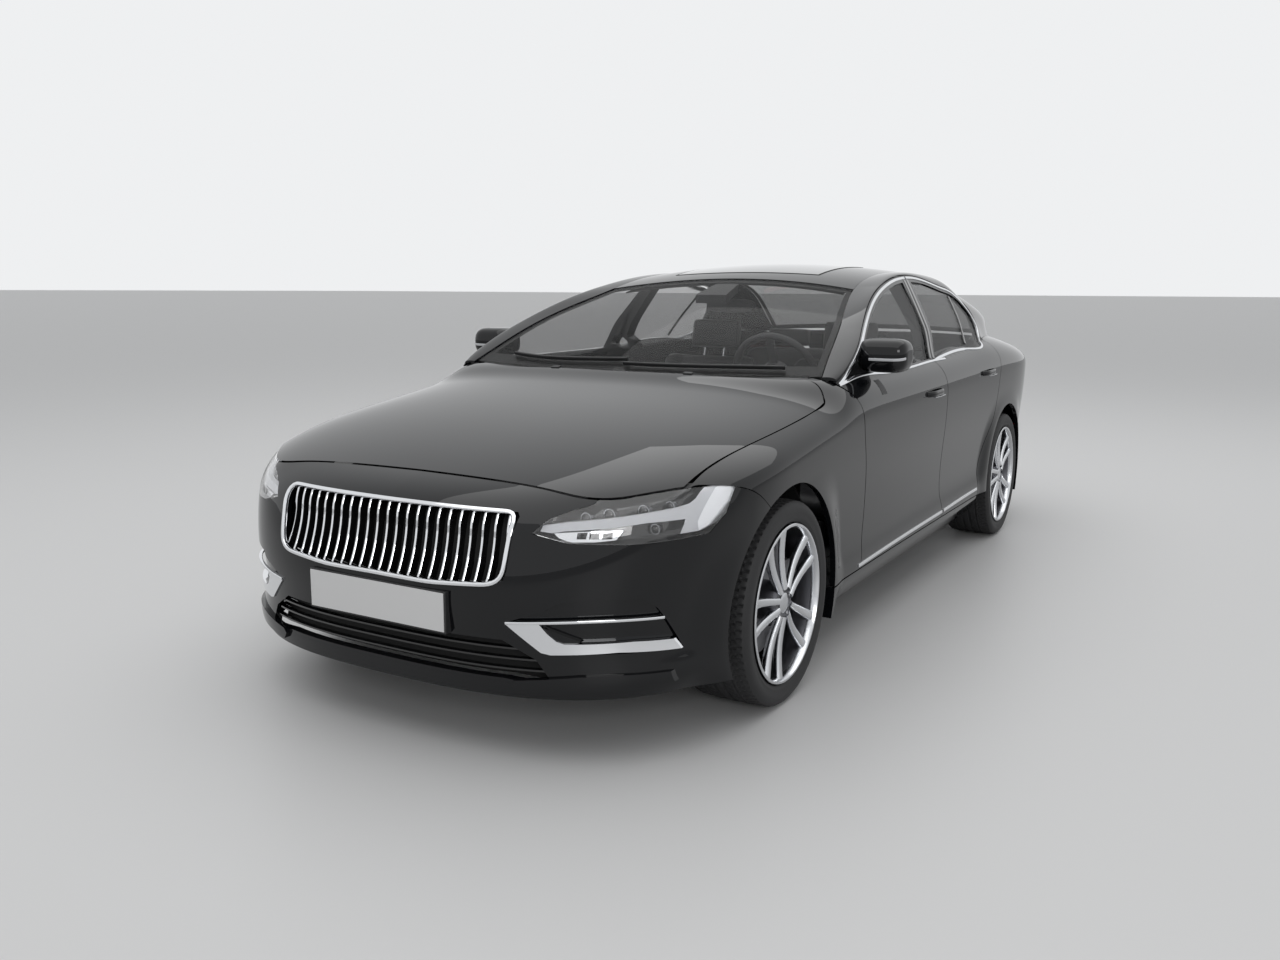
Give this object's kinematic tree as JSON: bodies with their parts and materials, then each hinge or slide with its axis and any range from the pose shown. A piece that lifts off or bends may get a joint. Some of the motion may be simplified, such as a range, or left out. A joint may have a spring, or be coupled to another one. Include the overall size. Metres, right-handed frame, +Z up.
{
  "type": "sedan car",
  "caption": "Four-door saloon car with turning wheels, coupled steering, opening doors, hood and trunk lid, and a hollow cabin.",
  "frame": {"origin": "on the floor below the middle of the car", "axes": "+X to the car's left side, -Y forwards, +Z up"},
  "size_m": [2.02, 4.9638, 1.4431],
  "materials": {
    "body_paint": "gloss black",
    "lamp_lens": "clear",
    "lamp_red": "red, clear",
    "bright_trim": "polished",
    "tinted_glass": "light tint",
    "gloss_black": "gloss",
    "floor_metal": "matt",
    "cast_metal": "as cast",
    "frame_metal": "satin",
    "pipe_metal": "brushed",
    "tank_plastic": "matt",
    "dash_plastic": "fine grain",
    "seat_leather": "fine grain",
    "tyre_rubber": "matt",
    "wheel_alloy": "machined"
  },
  "bodies": {
    "root": {"front_bumper": "body_paint", "headlamps": "lamp_lens", "grille": "bright_trim", "cowl": "tank_plastic", "fender_left": "body_paint", "fender_right": "body_paint", "side_frame_left": "body_paint", "side_frame_right": "body_paint", "quarter_left": "body_paint", "quarter_right": "body_paint", "roof_panel": "body_paint", "windscreen": "tinted_glass", "rear_glass": "tinted_glass", "rear_bumper": "body_paint", "tail_lamps": "lamp_red", "floor_pan": "floor_metal", "engine_block": "cast_metal", "subframe_front": "frame_metal", "subframe_rear": "frame_metal", "exhaust": "pipe_metal", "fuel_tank": "tank_plastic", "wheel_liners": "tank_plastic", "front_seats": "seat_leather", "rear_bench": "seat_leather", "dashboard": "dash_plastic"},
    "hood": {"hood": "body_paint"},
    "trunk_lid": {"trunk_lid": "body_paint"},
    "steering_wheel": {"steering_wheel": "dash_plastic"},
    "front_door_left": {"door_front_left": "body_paint", "window_front_left": "tinted_glass", "mirror_left": "gloss_black"},
    "rear_door_left": {"door_rear_left": "body_paint", "window_rear_left": "tinted_glass"},
    "steer_left": {"knuckle_left": "cast_metal"},
    "front_wheel_left": {"tyre_front_left": "tyre_rubber", "rim_front_left": "wheel_alloy"},
    "rear_wheel_left": {"tyre_rear_left": "tyre_rubber", "rim_rear_left": "wheel_alloy"},
    "front_door_right": {"door_front_right": "body_paint", "window_front_right": "tinted_glass", "mirror_right": "gloss_black"},
    "rear_door_right": {"door_rear_right": "body_paint", "window_rear_right": "tinted_glass"},
    "steer_right": {"knuckle_right": "cast_metal"},
    "front_wheel_right": {"tyre_front_right": "tyre_rubber", "rim_front_right": "wheel_alloy"},
    "rear_wheel_right": {"tyre_rear_right": "tyre_rubber", "rim_rear_right": "wheel_alloy"}
  },
  "joints": [
    {"name": "front_door_hinge_left", "type": "hinge", "parent": "root", "child": "front_door_left", "pos_m": [0.939, -1.0555, 0.6], "axis": [0, 0, -1], "range_deg": [0, 65]},
    {"name": "rear_door_hinge_left", "type": "hinge", "parent": "root", "child": "rear_door_left", "pos_m": [0.939, 0.1065, 0.6], "axis": [0, 0, -1], "range_deg": [0, 68]},
    {"name": "steer_left", "type": "hinge", "parent": "root", "child": "steer_left", "pos_m": [0.756, -1.6065, 0.332], "axis": [0, 0, 1], "range_deg": [-32, 32]},
    {"name": "front_wheel_spin_left", "type": "hinge", "parent": "steer_left", "child": "front_wheel_left", "pos_m": [0.806, -1.6065, 0.332], "axis": [1, 0, 0], "continuous": true},
    {"name": "rear_wheel_spin_left", "type": "hinge", "parent": "root", "child": "rear_wheel_left", "pos_m": [0.806, 1.3345, 0.332], "axis": [1, 0, 0], "continuous": true},
    {"name": "front_door_hinge_right", "type": "hinge", "parent": "root", "child": "front_door_right", "pos_m": [-0.939, -1.0555, 0.6], "axis": [0, 0, 1], "range_deg": [0, 65]},
    {"name": "rear_door_hinge_right", "type": "hinge", "parent": "root", "child": "rear_door_right", "pos_m": [-0.939, 0.1065, 0.6], "axis": [0, 0, 1], "range_deg": [0, 68]},
    {"name": "steer_right", "type": "hinge", "parent": "root", "child": "steer_right", "pos_m": [-0.756, -1.6065, 0.332], "axis": [0, 0, 1], "range_deg": [-32, 32]},
    {"name": "front_wheel_spin_right", "type": "hinge", "parent": "steer_right", "child": "front_wheel_right", "pos_m": [-0.806, -1.6065, 0.332], "axis": [1, 0, 0], "continuous": true},
    {"name": "rear_wheel_spin_right", "type": "hinge", "parent": "root", "child": "rear_wheel_right", "pos_m": [-0.806, 1.3345, 0.332], "axis": [1, 0, 0], "continuous": true},
    {"name": "hood_hinge", "type": "hinge", "parent": "root", "child": "hood", "pos_m": [0, -0.9815, 0.985], "axis": [-1, 0, 0], "range_deg": [0, 50]},
    {"name": "trunk_hinge", "type": "hinge", "parent": "root", "child": "trunk_lid", "pos_m": [0, 1.8485, 1.1], "axis": [1, 0, 0], "range_deg": [0, 70]},
    {"name": "steering_wheel_turn", "type": "hinge", "parent": "root", "child": "steering_wheel", "pos_m": [0.365, -0.47422, 0.9596], "axis": [0, 0.9131, 0.4078], "range_deg": [-448, 448]}
  ],
  "couplings": [
    {"joint": "steer_right", "follows": "steer_left", "ratio": 1},
    {"joint": "steering_wheel_turn", "follows": "steer_left", "ratio": 14}
  ]
}
